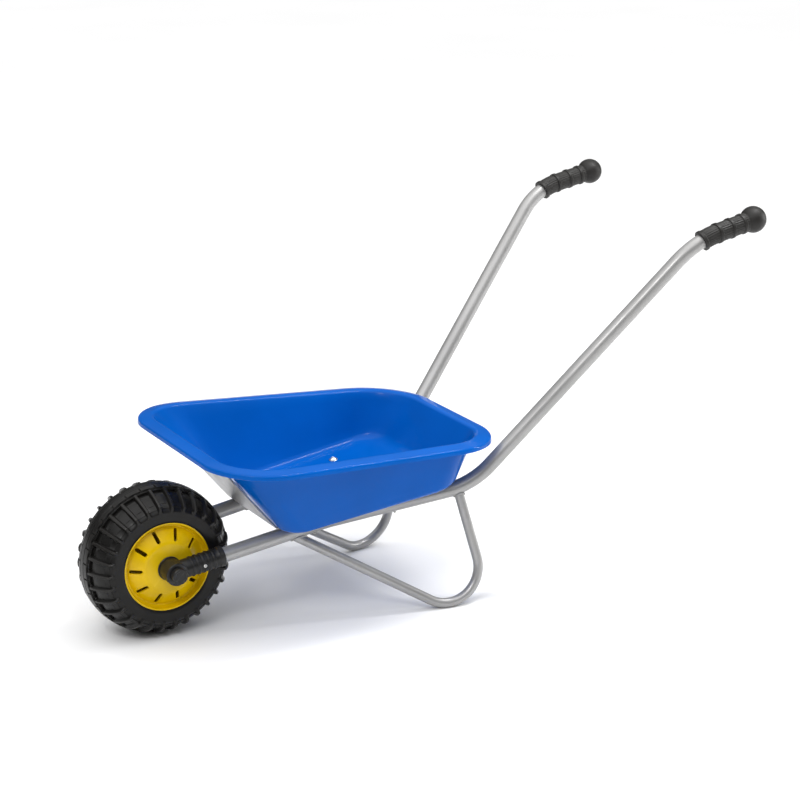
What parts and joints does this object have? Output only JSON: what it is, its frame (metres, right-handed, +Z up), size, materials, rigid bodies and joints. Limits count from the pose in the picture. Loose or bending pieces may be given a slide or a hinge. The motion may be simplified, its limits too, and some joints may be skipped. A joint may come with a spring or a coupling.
{
  "type": "wheelbarrow",
  "caption": "Child's wheelbarrow: pressed tray on a bent tube frame with V-shaped legs, ribbed ball-ended grips and a fat-tyred front wheel that spins on a fixed axle.",
  "frame": {"origin": "on the floor, in the middle of the overall length and width", "axes": "+X back towards the handles, +Y to the pushing person's right, +Z up"},
  "size_m": [0.9141, 0.4252, 0.5142],
  "materials": {
    "tray_paint": "gloss blue powder coat",
    "frame_paint": "satin silver paint",
    "fastener": "zinc plated",
    "axle_steel": "plain drawn",
    "tyre": "moulded black",
    "rim": "gloss yellow",
    "bush": "moulded",
    "black_plastic": "moulded satin black",
    "grip": "soft matt black"
  },
  "bodies": {
    "frame": {"axle": "axle_steel", "axle_cap_left": "black_plastic", "axle_cap_right": "black_plastic", "fork_sleeve_left": "black_plastic", "fork_sleeve_right": "black_plastic", "frame_tube_left": "frame_paint", "frame_tube_right": "frame_paint", "front_plate": "frame_paint", "grip_left": "grip", "grip_right": "grip", "hub_spacer_left": "black_plastic", "hub_spacer_right": "black_plastic", "leg_left": "frame_paint", "leg_right": "frame_paint", "rear_strap": "frame_paint", "sleeve_screw_left": "fastener", "sleeve_screw_right": "fastener", "tray": "tray_paint", "tray_screws": "fastener", "tray_washers": "fastener"},
    "wheel": {"tyre": "tyre", "rim_half_left": "rim", "rim_half_right": "rim", "hub_tube": "bush", "hub_bush_left": "bush", "hub_bush_right": "bush"}
  },
  "joints": [
    {"name": "wheel_spin", "type": "hinge", "parent": "frame", "child": "wheel", "pos_m": [-0.357, 0, 0.1], "axis": [0, 1, 0], "continuous": true}
  ]
}
